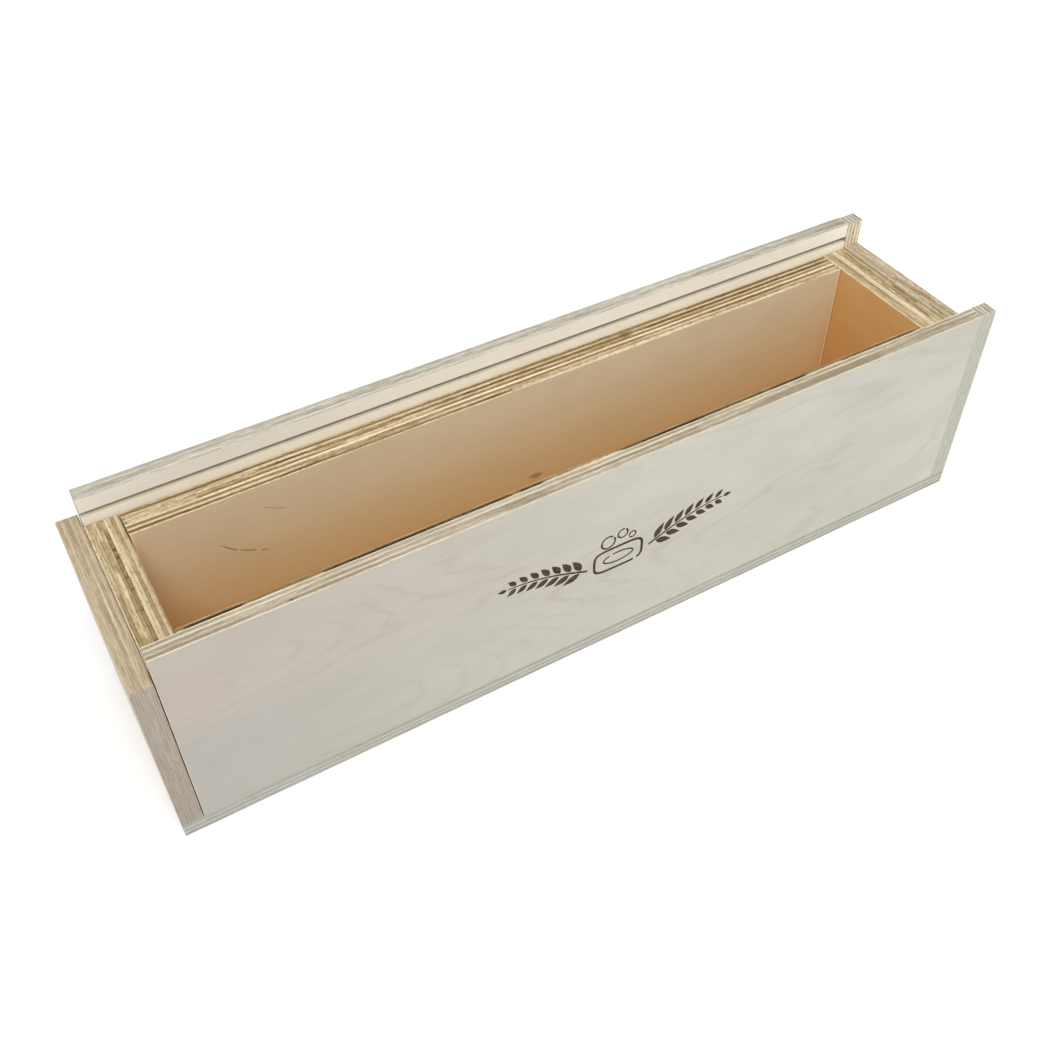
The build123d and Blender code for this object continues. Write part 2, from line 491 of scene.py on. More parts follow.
def ribs_of(length, step, ease, outline):
    """Places along the board for its ribs: even, and closer at its ends and at the outline's corners."""
    count = round(length / step)
    even = [length * number / count for number in range(1, count)]
    ends = [0.0, 0.3 * ease, ease, length - ease, length - 0.3 * ease, length]
    corners = [place for place, _ in outline[1:-1]]
    clear = [place for place in even if all(abs(place - corner) > 0.3 * mm for corner in corners)]
    return sorted({*ends, *clear, *corners})


print("points across a 9.5 mm edge:", len(edge_marks(9.5 * mm, 7, 0.35 * mm)))

# %% [markdown]
# A veneer's edge is never quite straight. Each one has settled a little on its own, a short noise
# makes its cut rough and a long one changes its tone slowly. The events come on top, and they fade
# in and out, so that a gap has soft ends. All that is known about a board is kept in its plan.

# %% How one veneer lies at one place
event_fade = 2.5 * mm


def event_sum(plan, edge, number, place):
    """The sink and the shift of tone that all events together give one veneer here."""
    sink = shift = 0.0
    for event_edge, event_veneer, start, end, deep, change in plan.events:
        if event_edge == edge and event_veneer == number and start < place < end:
            ragged = 0.8 + 0.6 * noise.noise(Vector((place / (3 * mm), plan.seed, number)))
            fade = min(1.0, (place - start) / event_fade, (end - place) / event_fade)
            sink += deep * ragged * fade
            shift += change * ragged * fade
    return sink, shift


def edge_state(plan, edge, number, place):
    """How far a veneer's cut edge lies under the sawn line, and how its tone is shifted."""
    sink, shift = event_sum(plan, edge, number, place)
    wobble = noise.noise(Vector((place / (9 * mm), number * 3.7, plan.seed + 9.1 * edge)))
    slow = noise.noise(Vector((place / (38 * mm), number * 5.3, plan.seed + 4.1 * edge)))
    sink += plan.settled[edge, number] + plan.rough * (0.5 + 0.5 * wobble)
    return sink, shift + 2 * plan.drift * slow


print("an event fades in and out over, mm:", round(event_fade / mm, 1))

# %% [markdown]
# One rib is the list of these points, edge after edge. A grooved board has four more of them, where
# the rib dips into the groove. The rib is then put in its place: a little smaller right at the ends,
# where the board is rounded off, and moved sideways where a loose board leans or bends.

# %% One rib
# Painted light, with the pale wood of a fresh cut: the groove's walls are shifted paler in tone.
groove_painted_light = 0.5


def groove_points(groove, thickness):
    """The four corners of a groove, in the order that the rib passes them."""
    side, bottom, ceiling, cut_in = groove
    face = thickness if side else 0.0
    back = face - cut_in if side else face + cut_in
    lower = [(face, bottom, groove_painted_light), (back, bottom, groove_painted_light)]
    upper = [(back, ceiling, groove_painted_light), (face, ceiling, groove_painted_light)]
    return lower + upper if side else (lower + upper)[::-1]


def rib(plan, place):
    """The points of one cross-section, as (depth through the board, height, shift of tone)."""
    top = along_outline(plan.outline, place)
    worn = plan.ease * (1.0 + 0.35 * noise.noise(Vector((place / (14 * mm), plan.seed, 2.5))))
    points = []
    for edge in (0, 1):
        edge_points = []
        for number, depth in plan.marks:
            sink, shift = edge_state(plan, edge, number, place)
            drop = rounded_off(depth, worn) + rounded_off(plan.thickness - depth, worn)
            drop += 0.0 if depth in (0.0, plan.thickness) else sink
            edge_points.append((depth, drop if edge == 0 else top - drop, shift))
        points += edge_points if edge == 0 else edge_points[::-1]
        if plan.groove and plan.groove[0] == 1 - edge:
            points += groove_points(plan.groove, plan.thickness)
    return points


def rib_in_place(plan, place):
    """The corners of one rib in the frame, each with its shift of tone."""
    top = along_outline(plan.outline, place)
    from_end = min(place, plan.length - place)
    inset = rounded_off(from_end, plan.ease)
    near_end = min(1.0, from_end / (1.5 * mm))
    middle = plan.thickness / 2
    lean = plan.bow(place) if plan.bow else 0.0
    corners = []
    for depth, level, shift in rib(plan, place):
        position = plan.low.copy()
        position[plan.run] += place
        position[plan.through] += middle + (depth - middle) * (1 - 2 * inset / plan.thickness) + lean
        position[plan.up] += top / 2 + (level - top / 2) * (1 - 2 * inset / top)
        corners.append((position, shift * near_end))
    return corners


print("points that a groove adds to a rib:", len(groove_points((1, 0.0, 3 * mm, 4 * mm), 9 * mm)))

# %% [markdown]
# Skin goes over the ribs: a strip of four-sided faces between each rib and the next. Every face of
# the strip takes the material of its stretch of the rib. At the rounded ends of the board the thin
# face veneer is sanded through, so there the skin shows the sawn edge instead.

# %% The skin over the ribs
sawn_edge, high_face, low_face, notched_edge = 0, 1, 2, 3


def stretches(plan):
    """The material of each stretch of a rib, all the way round."""
    lower_edge = [sawn_edge] * (len(plan.marks) - 1)
    upper_edge = [notched_edge] * (len(plan.marks) - 1)
    faces = [[low_face], [high_face]]
    if plan.groove:
        side = plan.groove[0]
        faces[side] = faces[side] + [sawn_edge] * 3 + faces[side]
    return lower_edge + faces[1] + upper_edge + faces[0]


def skin(plan, places):
    """The polygons of the board, and the material of each."""
    around = stretches(plan)
    polygons, slots = [], []
    for number in range(len(places) - 1):
        start, after = number * len(around), (number + 1) * len(around)
        tops = [along_outline(plan.outline, place) for place in places[number:number + 2]]
        cut_down = plan.notched and min(tops) < 0.95 * plan.height
        middle = (places[number] + places[number + 1]) / 2
        rounded_end = min(middle, plan.length - middle) < plan.ease
        for point, slot in enumerate(around):
            following = (point + 1) % len(around)
            polygons.append((start + point, start + following, after + following, after + point))
            if (slot == notched_edge and not cut_down) or (slot in (high_face, low_face) and rounded_end):
                slot = sawn_edge
            slots.append(slot)
    end = len(places) * len(around)
    polygons.append(tuple(range(len(around))))
    polygons.append(tuple(reversed(range(end - len(around), end))))
    return polygons, slots + [sawn_edge, sawn_edge]


print("material slots: sawn edge", sawn_edge, "faces", (high_face, low_face), "notched edge", notched_edge)

# %% [markdown]
# The board itself is then short. Its size always comes from the CAD part that it stands for, so the
# two can't drift apart. Sawn edges are shaded smooth, with sharp turns kept sharp, and the flat
# veneer faces are shaded flat.

# %% Draw a board
sharp_turn = 25


def board(name, node_name, run, through, up, veneers, materials, seed, ease=0.35 * mm, step=2.2 * mm,
          relief=0.06 * mm, rough=0.08 * mm, drift=0.2, events=(), outline=None, groove=None, bow=None):
    """A plywood board in the place of one CAD node. run, through and up are axes: 0, 1 or 2.
    materials are the sawn edge, the face on the high side, the face on the low side and, if wanted,
    the upper edge where the outline is cut down. An event is (edge, veneer, start, end, sink, shift),
    and a groove (side, bottom, top, depth), where side and edge are 0 for low and 1 for high."""
    low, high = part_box(node_name)
    length, thickness, height = (high[axis] - low[axis] for axis in (run, through, up))
    draw = random.Random(seed)
    plan = SimpleNamespace(
        low=low, run=run, through=through, up=up, length=length, thickness=thickness, height=height,
        marks=edge_marks(thickness, veneers, ease), outline=outline or [(0.0, height), (length, height)],
        settled={(edge, v): relief * draw.random() for edge in (0, 1) for v in range(veneers)},
        seed=seed, ease=ease, rough=rough, drift=drift, events=events, groove=groove, bow=bow,
        notched=len(materials) > notched_edge)
    places = ribs_of(length, step, ease, plan.outline)
    corners = [corner for place in places for corner in rib_in_place(plan, place)]
    polygons, slots = skin(plan, places)

    mesh = bpy.data.meshes.new(name)
    mesh.from_pydata([position for position, _ in corners], [], polygons)
    stripe = mesh.attributes.new("stripe", "FLOAT", "POINT")
    stripe.data.foreach_set("value", [shift for _, shift in corners])
    different = list(dict.fromkeys(materials))
    mesh.polygons.foreach_set("material_index", [different.index(materials[slot]) for slot in slots])
    for material in different:
        mesh.materials.append(material)
    finish_mesh(mesh)
    mesh.polygons.foreach_set("use_smooth", [slot in (sawn_edge, notched_edge) for slot in slots])
    piece = bpy.data.objects.new(name, mesh)
    bpy.context.scene.collection.objects.link(piece)
    print(f"{name}: {len(places)} ribs of {len(corners) // len(places)} points, {len(polygons)} faces")
    return piece


def finish_mesh(mesh):
    """Faces outwards, and an edge kept sharp wherever the surface turns more than sharp_turn."""
    work = bmesh.new()
    work.from_mesh(mesh)
    bmesh.ops.recalc_face_normals(work, faces=work.faces)
    work.to_mesh(mesh)
    work.free()
    mesh.set_sharp_from_angle(angle=math.radians(sharp_turn))


print("a sharp edge turns by more than", sharp_turn, "degrees")

# %% [markdown]
# ## Cutting into a board
#
# Two things are cut into finished boards: the small dimples over the brads, and the burnt mark on
# the front. A boolean cut with a solid cutter does both, and the walls and the floor of the cut take
# the cutter's material. The cutter is thrown away afterwards.

# %% A cutter and a cut
def prism(outlines, plane, start, end, name, material):
    """A solid for cutting: flat outlines, as lists of (a, b), pulled along the plane's third axis.
    plane gives the axes of a, of b and of the pull."""
    work = bmesh.new()
    for outline in outlines:
        rings = []
        for level in (start, end):
            ring = []
            for a, b in outline:
                position = Vector((0, 0, 0))
                position[plane[0]], position[plane[1]], position[plane[2]] = a, b, level
                ring.append(work.verts.new(position))
            rings.append(ring)
        work.faces.new(rings[0])
        work.faces.new(rings[1][::-1])
        for number in range(len(outline)):
            after = (number + 1) % len(outline)
            work.faces.new((rings[0][after], rings[0][number], rings[1][number], rings[1][after]))
    bmesh.ops.recalc_face_normals(work, faces=work.faces)
    mesh = bpy.data.meshes.new(name)
    work.to_mesh(mesh)
    work.free()
    mesh.materials.append(material)
    cutter = bpy.data.objects.new(name, mesh)
    bpy.context.scene.collection.objects.link(cutter)
    return cutter


def cut(piece, cutter):
    """Takes the cutter out of the piece, and keeps the cutter's material on the new surfaces."""
    change = piece.modifiers.new("cut", "BOOLEAN")
    change.operation = "DIFFERENCE"
    change.solver = "EXACT"
    change.material_mode = "TRANSFER"
    change.object = cutter
    result = bpy.data.meshes.new_from_object(piece.evaluated_get(bpy.context.evaluated_depsgraph_get()))
    before = len(piece.data.polygons)
    piece.modifiers.clear()
    piece.data = result
    bpy.data.objects.remove(cutter)
    print(f"{piece.name}: {before} faces before the cut, {len(result.polygons)} after")


def circle(a, b, radius, sides=20):
    """The outline of a round hole."""
    turns = [2 * math.pi * number / sides for number in range(sides)]
    return [(a + radius * math.cos(turn), b + radius * math.sin(turn)) for turn in turns]


print("sides of a round cutter:", len(circle(0.0, 0.0, 1 * mm)))

# %% [markdown]
# ## Putting a board in the frame
#
# A finished board has to say two things: which body of the mechanism it rides on, and which plain
# CAD board it stands for.

# %% Hand a piece over to the frame
body_of_node = {}
for body, node_names in frame["record"]["behaviour"]["bodies"].items():
    body_of_node.update({node_name: body for node_name in node_names})
print("bodies:", sorted(set(body_of_node.values())))


def hand_over(piece, node_name):
    """The piece rides where its CAD node rides, and replaces it."""
    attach(piece, body_of_node[node_name])
    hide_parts(node_name)


# %% [markdown]
# ## The long panels
#
# The front and the back panel are thin plywood, seven veneers, with the grain of their faces along
# the box. The front face is painted darker and greyer than the inner faces: painted cool shade. It is
# darker and pinker towards its left end: a pink tint with painted shade. The back panel's inner face,
# above the liner, is painted nearly white: painted bounce light, a little darker towards its left end,
# and the low strip under its groove is painted warmer: painted warm bounce light. Each panel has the
# lid's groove on its inner face.

# %% Front and back panels
X, Y, Z = 0, 1, 2
panel_wood = {"pale": screen(219, 209, 188), "brown": screen(158, 144, 118), "dark": screen(120, 102, 76)}
cool_wood = {"pale": screen(217, 213, 198), "brown": screen(154, 146, 127), "dark": screen(116, 102, 80)}
front_tones = [0.75, 0.25, 0.5, 0.35, 0.8, 0.4, 1.12]
back_tones = [0.65, 0.75, 0.45, 0.5, 0.65, 0.5, 0.65]
front_low, front_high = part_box("front_panel")
groove_bottom = 124.5 * mm - front_low.z
groove_ceiling = groove_bottom + 3.4 * mm
groove_cut = 4.5 * mm

# Painted cool shade: the front face is darker and greyer than the inner faces, and darker and pinker towards
# its left end.
front_face = veneer("birch_front_face", X, screen(196, 193, 182), screen(181, 176, 163), seed=3, rings=0.45,
                    left_tint_and_shade=(screen(186, 175, 167), screen(174, 171, 163)),
                    marks=[(rubbed_beyond(247.9 * mm), screen(226, 217, 206))])
# Painted light: the inner face is nearly white from bounce light, a little darker towards its left end, and
# warmer under its groove: painted warm bounce light.
bright_left_shade = screen(235, 230, 219)
bright_face = veneer("birch_bright_face", X, screen(253, 251, 240), screen(247, 241, 227), seed=8,
                     rings=0.15, left_tint_and_shade=(bright_left_shade, bright_left_shade),
                     marks=[(under(125.5 * mm), screen(255, 246, 226))])
back_face = veneer("birch_back_face", X, screen(206, 198, 180), screen(188, 176, 154), seed=14)

front_panel = board(
    "front_panel_ply", "front_panel", X, Y, Z, 7,
    [sawn("front_panel_edge", "front_panel", X, Y, front_tones, 21, **panel_wood), bright_face, front_face],
    seed=21, groove=(1, groove_bottom, groove_ceiling, groove_cut), events=[
        (1, 1, 0.066, 0.071, 0.5 * mm, -1.2), (1, 1, 0.000, 0.050, 0.1 * mm, -0.3),
        (1, 3, 0.180, 0.300, 0.1 * mm, -0.3), (1, 2, 0.330, 0.420, 0.1 * mm, -0.3),
        (1, 2, 0.400, 0.490, 0.0, -0.2), (1, 3, 0.340, 0.480, 0.1 * mm, -0.2),
        (1, 4, 0.300, 0.490, 0.0, -0.25), (1, 5, 0.260, 0.480, 0.1 * mm, -0.1)])
back_panel = board(
    "back_panel_ply", "back_panel", X, Y, Z, 7,
    [sawn("back_panel_edge", "back_panel", X, Y, back_tones, 22, **cool_wood), back_face, bright_face],
    seed=22, groove=(0, groove_bottom, groove_ceiling, groove_cut), drift=0.12, events=[
        (1, 1, 0.410, 0.497, 0.0, -0.15), (1, 2, 0.436, 0.497, 0.0, -0.2), (1, 3, 0.422, 0.497, 0.0, -0.15),
        (1, 4, 0.450, 0.497, 0.0, -0.2), (1, 5, 0.415, 0.497, 0.0, -0.15)])
hand_over(front_panel, "front_panel")
hand_over(back_panel, "back_panel")

# %% [markdown]
# ## The end boards
#
# The end boards are a little thicker, nine veneers, and their face grain runs across the box. The
# left one is plain. The right one is cut down between two horns. The saw tore through that notch
# less cleanly than anywhere else, so it gets a material of its own: its floor is rough and brown,
# and only the cut sides of the horns show crisp stripes.

# %% End boards
end_wood = {"pale": screen(200, 184, 156), "brown": screen(158, 139, 108), "dark": screen(118, 96, 66)}
end_tones = [0.85, 0.55, 0.8, 0.6, 0.45, 0.9, 0.55, 0.75, 0.6]
horn_tones = [0.65, 0.3, 0.7, 0.27, 0.65, 0.3, 0.7, 0.3, 0.65]
notch_wood = {"pale": screen(222, 213, 190), "brown": screen(164, 139, 103), "dark": screen(120, 96, 63)}
notch_tones = [0.4, 0.55, 0.35, 0.5, 0.35, 0.3, 0.45, 0.5, 0.6]
horn_side_tones = [0.85, 1.35, 0.65, 1.35, 0.55, 1.35, 0.65, 1.35, 0.95]
end_face = veneer("birch_end_face", Y, screen(212, 199, 174), screen(192, 175, 145), seed=31)

# The left end's front edge takes painted cool shade, a grey.
left_end = board(
    "left_end_ply", "left_end_board", Y, X, Z, 9,
    [sawn("left_end_edge", "left_end_board", Y, X, end_tones, 33, painted_front_shade=screen(160, 156, 154), **end_wood),
     end_face, end_face], seed=33, ease=0.5 * mm)

end_low, end_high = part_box("right_end_board")
horn_width = front_high.y - end_low.y
end_length = end_high.y - end_low.y
full_height = end_high.z - end_low.z
notch_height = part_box("left_end_board")[1].z - end_low.z
saw_step = 0.02 * mm


def horn_outline(radius, steps=6):
    """(place, height) along one horn, from its outer corner, which is rounded, to the notch."""
    turns = [math.radians(90 * number / steps) for number in range(steps + 1)]
    level = full_height - radius
    corner = [(radius - radius * math.cos(turn), level + radius * math.sin(turn)) for turn in turns]
    return corner + [(horn_width, full_height), (horn_width + saw_step, notch_height)]


one_horn = horn_outline(1.5 * mm)
right_outline = one_horn + [(end_length - place, height) for place, height in reversed(one_horn)]
# The horns' front edges take painted cool shade, a grey.
horn_edge = sawn("right_end_edge", "right_end_board", Y, X, horn_tones, 35,
                 painted_front_shade=screen(185, 187, 181), **cool_wood)
notch_edge = sawn("notch_edge", "right_end_board", Y, X, notch_tones, 36, rough=0.6,
                  end_tones=horn_side_tones, **notch_wood)
right_end = board(
    "right_end_ply", "right_end_board", Y, X, Z, 9, [horn_edge, end_face, end_face, notch_edge], seed=35,
    outline=right_outline, rough=0.25 * mm, ease=0.5 * mm, step=1.2 * mm, events=[
        (1, 2, 0.028, 0.041, 0.6 * mm, -0.5), (1, 3, 0.050, 0.074, 0.5 * mm, -0.4),
        (1, 5, 0.020, 0.060, 0.3 * mm, -0.3), (1, 6, 0.060, 0.100, 0.2 * mm, 0.2)])
horn_height = full_height - notch_height
print("horns, mm:", round(horn_width / mm, 2), "wide and", round(horn_height / mm, 2), "tall")

# %% [markdown]
# ## The base board
#
# The base lies flat, so its thickness runs up and down and its long sawn edges face the front and
# the back. It is drawn with the same function as the others, turned over: its "height" is now its
# depth from front to back. Its top veneer is dark at the edge, where glue was squeezed out.

# %% Base board
base_face = veneer("birch_base_face", X, screen(206, 192, 164), screen(182, 164, 132), seed=41)
base_wood = {"pale": screen(214, 207, 190), "brown": screen(150, 139, 118), "dark": screen(102, 95, 82)}
base_tones = [0.7, 0.0, 0.9, 0.0, 1.0, 0.2, -0.38]
# The base's front edge takes painted cool shade, a grey.
base = board(
    "base_ply", "base_board", X, Z, Y, 7,
    [sawn("base_edge", "base_board", X, Z, base_tones, 43, painted_front_shade=screen(177, 180, 176), **base_wood),
     base_face, base_face], seed=43, events=[
        (0, 1, 0.0, 0.090, 0.0, -0.1), (0, 2, 0.0, 0.112, 0.0, -0.35), (0, 3, 0.0, 0.080, 0.0, -0.1),
        (0, 4, 0.0, 0.124, 0.0, -0.4), (0, 5, 0.0, 0.100, 0.0, -0.1)])
hand_over(base, "base_board")
hand_over(left_end, "left_end_board")
hand_over(right_end, "right_end_board")

# %% [markdown]
# ## The liner boards
#
# The liner is thick plywood of eleven veneers, warmer in colour, with a core full of gaps: the long
# dark line in its upper edge is a veneer that stops short. The boards are loose. The front one leans
# against its panel, the two short ones have slid a little to the left, and the back one has bent, so
# the slit behind it opens and closes. Its inner faces are painted orange, most of all low down: painted
# warm bounce light. Its outer faces stand against the box and keep a plain colour.
#
# The tones and the events below are listed from the outer face, which stands against the box, to
# the inner face, at the cavity.

# %% Tones and events of the liner
liner_wood = {"pale": screen(228, 210, 176), "brown": screen(150, 124, 84), "dark": screen(92, 68, 38)}
short_liner_wood = {"pale": screen(219, 203, 169), "brown": screen(168, 144, 104),
                    "dark": screen(114, 90, 56)}
back_liner_tones = [0.55, 0.05, 0.65, 0.1, 0.6, 0.2, 1.2, 0.15, 0.65, 0.0, 0.75]
back_liner_events = [
    (1, 0.000, 0.340, 0.3 * mm, -0.2), (1, 0.350, 0.458, 1.0 * mm, -0.3),
    (3, 0.000, 0.074, 0.0, 0.6), (3, 0.076, 0.124, 1.2 * mm, -0.4), (3, 0.150, 0.310, 0.9 * mm, -0.3),
    (3, 0.318, 0.458, 1.3 * mm, -0.4), (2, 0.300, 0.312, 0.9 * mm, -0.6), (4, 0.302, 0.310, 0.6 * mm, -0.5),
    (5, 0.000, 0.040, 0.0, 0.5), (5, 0.040, 0.118, 0.4 * mm, -0.1), (5, 0.120, 0.178, 0.0, 0.5),
    (6, 0.000, 0.042, 0.0, -0.5), (5, 0.180, 0.400, 0.3 * mm, -0.1),
    (7, 0.100, 0.135, 0.0, 0.3), (4, 0.103, 0.160, 0.0, -0.35), (8, 0.098, 0.165, 0.0, -0.3),
    (7, 0.360, 0.420, 0.5 * mm, -0.3), (8, 0.210, 0.290, 0.0, -0.2),
    (9, 0.000, 0.165, 0.7 * mm, -0.3), (9, 0.185, 0.218, 0.5 * mm, -0.2), (9, 0.220, 0.460, 0.0, 0.7)]
front_liner_events = [
    (9, 0.003, 0.034, 1.3 * mm, -0.6), (9, 0.036, 0.070, 0.4 * mm, -0.1), (9, 0.073, 0.181, 1.3 * mm, -0.6),
    (9, 0.182, 0.199, 1.3 * mm, -0.6), (9, 0.200, 0.245, 0.0, 0.4), (9, 0.246, 0.374, 1.3 * mm, -0.6),
    (9, 0.400, 0.456, 1.3 * mm, -0.5)]
left_liner_tones = [0.7, 0.4, 0.5, 0.7, 0.35, 0.2, 0.85, 0.7, 0.35, 0.7, 0.5]
left_liner_events = [
    (1, 0.010, 0.052, 0.9 * mm, -0.4), (2, 0.060, 0.098, 0.0, 0.2), (4, 0.004, 0.050, 0.6 * mm, -0.2),
    (5, 0.001, 0.098, 1.6 * mm, -0.6), (3, 0.064, 0.092, 0.7 * mm, -0.5), (4, 0.070, 0.098, 0.0, 0.3),
    (8, 0.012, 0.104, 0.4 * mm, -0.1), (10, 0.004, 0.070, 0.2 * mm, -0.3), (7, 0.060, 0.063, 0.9 * mm, -1.0),
    (2, 0.006, 0.022, 0.8 * mm, -0.4), (3, 0.012, 0.020, 0.6 * mm, -0.6), (7, 0.004, 0.014, 0.5 * mm, -0.5)]
right_liner_tones = [0.35, 0.4, 0.3, 0.7, 0.4, 1.05, 0.9, 0.3, 0.45, 0.4, 0.7]
right_liner_events = [
    (1, 0.035, 0.060, 0.9 * mm, -0.3), (2, 0.050, 0.103, 0.4 * mm, -0.1), (3, 0.020, 0.103, 1.0 * mm, -0.4),
    (7, 0.048, 0.103, 0.4 * mm, -0.3), (8, 0.040, 0.060, 0.3 * mm, -0.2), (5, 0.010, 0.098, 0.1 * mm, 0.0)]
gap_depth = 0.8 * mm
all_liner_events = back_liner_events + front_liner_events + left_liner_events + right_liner_events
print("events along the liner:", len(all_liner_events), "of which gaps:",
      len([event for event in all_liner_events if event[3] > gap_depth]))

# %% [markdown]
# With the lists ready, each liner board is one call. A board on the high side of the box has its
# outer face on the high side of its thickness, so its lists are counted from the other end.

# %% Liner boards
# Painted warm bounce light: the liner's inner face turns more orange near its foot.
liner_face = veneer(
    "birch_liner_face", X, screen(221, 204, 174), screen(210, 190, 154), seed=51, rings=0.15,
    painted_foot_bounce=screen(215, 177, 122), marks=[
        (streak_at((-164.5 * mm, 74.2 * mm), 24 * mm, 15.5 * mm, 1.1 * mm), screen(122, 85, 44)),
        (streak_at((-150 * mm, 98.5 * mm), 11 * mm, 6 * mm, 0.9 * mm), screen(184, 156, 118)),
        (knot_at((5 * mm, 48 * mm), 11 * mm, 4 * mm), screen(118, 84, 44)),
        (rubbed_beyond(228.2 * mm), screen(242, 217, 180))])
# Painted warm bounce light: the short liners' inner faces are orange all over.
liner_end_face = veneer("birch_liner_end_face", Y, screen(246, 197, 134), screen(234, 181, 112),
                        seed=57, rings=0.2)
hidden = (screen(212, 196, 164), screen(196, 175, 138))
hidden_face = veneer("birch_hidden_face", X, *hidden, seed=59)
hidden_end_face = veneer("birch_hidden_end_face", Y, *hidden, seed=60)


def leans_on_panel(place):
    """The front liner has tipped against the front panel."""
    return -0.6 * mm


def bends(place):
    """The back liner leans out in the left half and stands away from the panel at the right."""
    return 0.4 * mm * math.sin(place / (480 * mm) * 2 * math.pi) - 0.1 * mm


def slid_left(place):
    """The two short liners have slid a little towards the left end of the box."""
    return -0.25 * mm


def liner(side, run, through, tones, events, outer_high, seed, bow):
    """One liner board. outer_high says that its outer face is on the high side of its thickness."""
    last = len(tones) - 1
    ordered = tones[::-1] if outer_high else tones
    turned = [(1, last - veneer if outer_high else veneer, *rest) for veneer, *rest in events]
    node_name = f"{side}_liner_board"
    long_one = run == X
    wood = liner_wood if long_one else short_liner_wood
    edge = sawn(f"{side}_liner_edge", node_name, run, through, ordered, seed, rough=0.45, **wood)
    outer, inner = (hidden_face, liner_face) if long_one else (hidden_end_face, liner_end_face)
    materials = [edge, outer, inner] if outer_high else [edge, inner, outer]
    piece = board(f"{side}_liner_ply", node_name, run, through, Z, len(tones), materials, seed,
                  relief=0.1 * mm, rough=0.2 * mm, events=turned, bow=bow,
                  step=2.2 * mm if long_one else 1.2 * mm)
    hand_over(piece, node_name)


liner("back", X, Y, back_liner_tones, back_liner_events, True, 61, bends)
liner("front", X, Y, back_liner_tones, front_liner_events, False, 62, leans_on_panel)
liner("left", Y, X, left_liner_tones, left_liner_events, False, 63, slid_left)
liner("right", Y, X, right_liner_tones, right_liner_events, True, 64, slid_left)

# %% [markdown]
# ## The burnt mark
#
# A maker burns a mark into the front with a hot stamp. This one is a picture without words: a bar of
# soap with three bubbles, between two sprigs of leaves. Each part of it is a stroke, a line whose
# width may change on the way, so a leaf is a stroke that starts thin, swells and ends thin. Rings
# stay open at one place, as on a stencil, so each of them is a single stroke as well. The parts
# don't touch each other, which keeps the cut simple and safe.

# %% Strokes of the stamp
def stroke(points, widths):
    """The outline of a line of changing width through these points."""
    left, right = [], []
    for number, (point, width) in enumerate(zip(points, widths)):
        before = Vector(points[max(number - 1, 0)])
        after = Vector(points[min(number + 1, len(points) - 1)])
        along = (after - before).normalized()
        side = Vector((-along.y, along.x)) * width / 2
        left.append(tuple(Vector(point) + side))
        right.append(tuple(Vector(point) - side))
    return left + right[::-1]


def ring(middle, across, up, width, open_at, squareness=2.0, opening=14, steps=56):
    """An open ring with the half-sizes across and up. A squareness over 2 flattens its sides."""
    points = []
    for number in range(steps + 1):
        turn = math.radians(open_at + opening / 2 + (360 - opening) * number / steps)
        parts = (math.cos(turn), math.sin(turn))
        reach = [math.copysign(abs(part) ** (2 / squareness), part) for part in parts]
        points.append((middle[0] + across * reach[0], middle[1] + up * reach[1]))
    return stroke(points, [width] * len(points))


def leaf(root, heading, length, width, steps=10):
    """A leaf that leaves its root in this direction, in degrees, and curves a little."""
    points, widths = [root], [0.2 * mm]
    for number in range(1, steps + 1):
        share = number / steps
        turn = math.radians(heading * (1 - 0.25 * share))
        ahead = length / steps
        points.append((points[-1][0] + ahead * math.cos(turn), points[-1][1] + ahead * math.sin(turn)))
        widths.append(max(0.2 * mm, width * math.sin(math.pi * share ** 0.8)))
    return stroke(points, widths)


print("points round one leaf:", len(leaf((0.0, 0.0), 30, 10 * mm, 4 * mm)))

# %% [markdown]
# A sprig is a curved stem with leaves that get shorter towards the tip. The second sprig is the first
# one seen in a mirror. The burn is shallow, and its colour is a mottled, greyish dark brown.

# %% The stamp, and its burn in the front panel
stamp_centre = (0.5 * mm, 74.5 * mm)


def stem_at(share):
    """A point of the stem, counted from the middle of the stamp."""
    return (20 + 49 * share) * mm, (13 * math.sin(share * math.pi / 2) - 7) * mm


stem = [stem_at(number / 24) for number in range(25)]
sprig = [stroke(stem, [(1.5 - 0.03 * number) * mm for number in range(25)])]
for count in range(7):
    share = 0.07 + 0.135 * count
    start, ahead = stem_at(share), stem_at(share + 0.01)
    stem_heading = math.degrees(math.atan2(ahead[1] - start[1], ahead[0] - start[0]))
    for turn_away in (46, -46):
        heading = stem_heading + turn_away
        way = (math.cos(math.radians(heading)), math.sin(math.radians(heading)))
        root = (start[0] + 1.6 * mm * way[0], start[1] + 1.6 * mm * way[1])
        sprig.append(leaf(root, heading, (11.5 - 5.5 * share) * mm, (4.6 - 1.4 * share) * mm))
tip = stem_at(1.0)
sprig.append(leaf((tip[0] + 0.8 * mm, tip[1]), 4, 5.5 * mm, 2.8 * mm))
mirrored = [[(-x, z) for x, z in outline] for outline in sprig]

soap = [ring((0, -5.5 * mm), 15.5 * mm, 8 * mm, 1.7 * mm, 300, squareness=4.5),
        ring((0, -5.5 * mm), 9.5 * mm, 3.4 * mm, 1.1 * mm, 120),
        ring((-7 * mm, 8.6 * mm), 4.3 * mm, 4.3 * mm, 1.2 * mm, 40),
        ring((2.2 * mm, 11.2 * mm), 3.1 * mm, 3.1 * mm, 1.1 * mm, 60),
        ring((8.6 * mm, 7.4 * mm), 2.1 * mm, 2.1 * mm, 1.0 * mm, 200)]
picture = sprig + mirrored + soap
stamp = [[(stamp_centre[0] + x, stamp_centre[1] + z) for x, z in outline] for outline in picture]

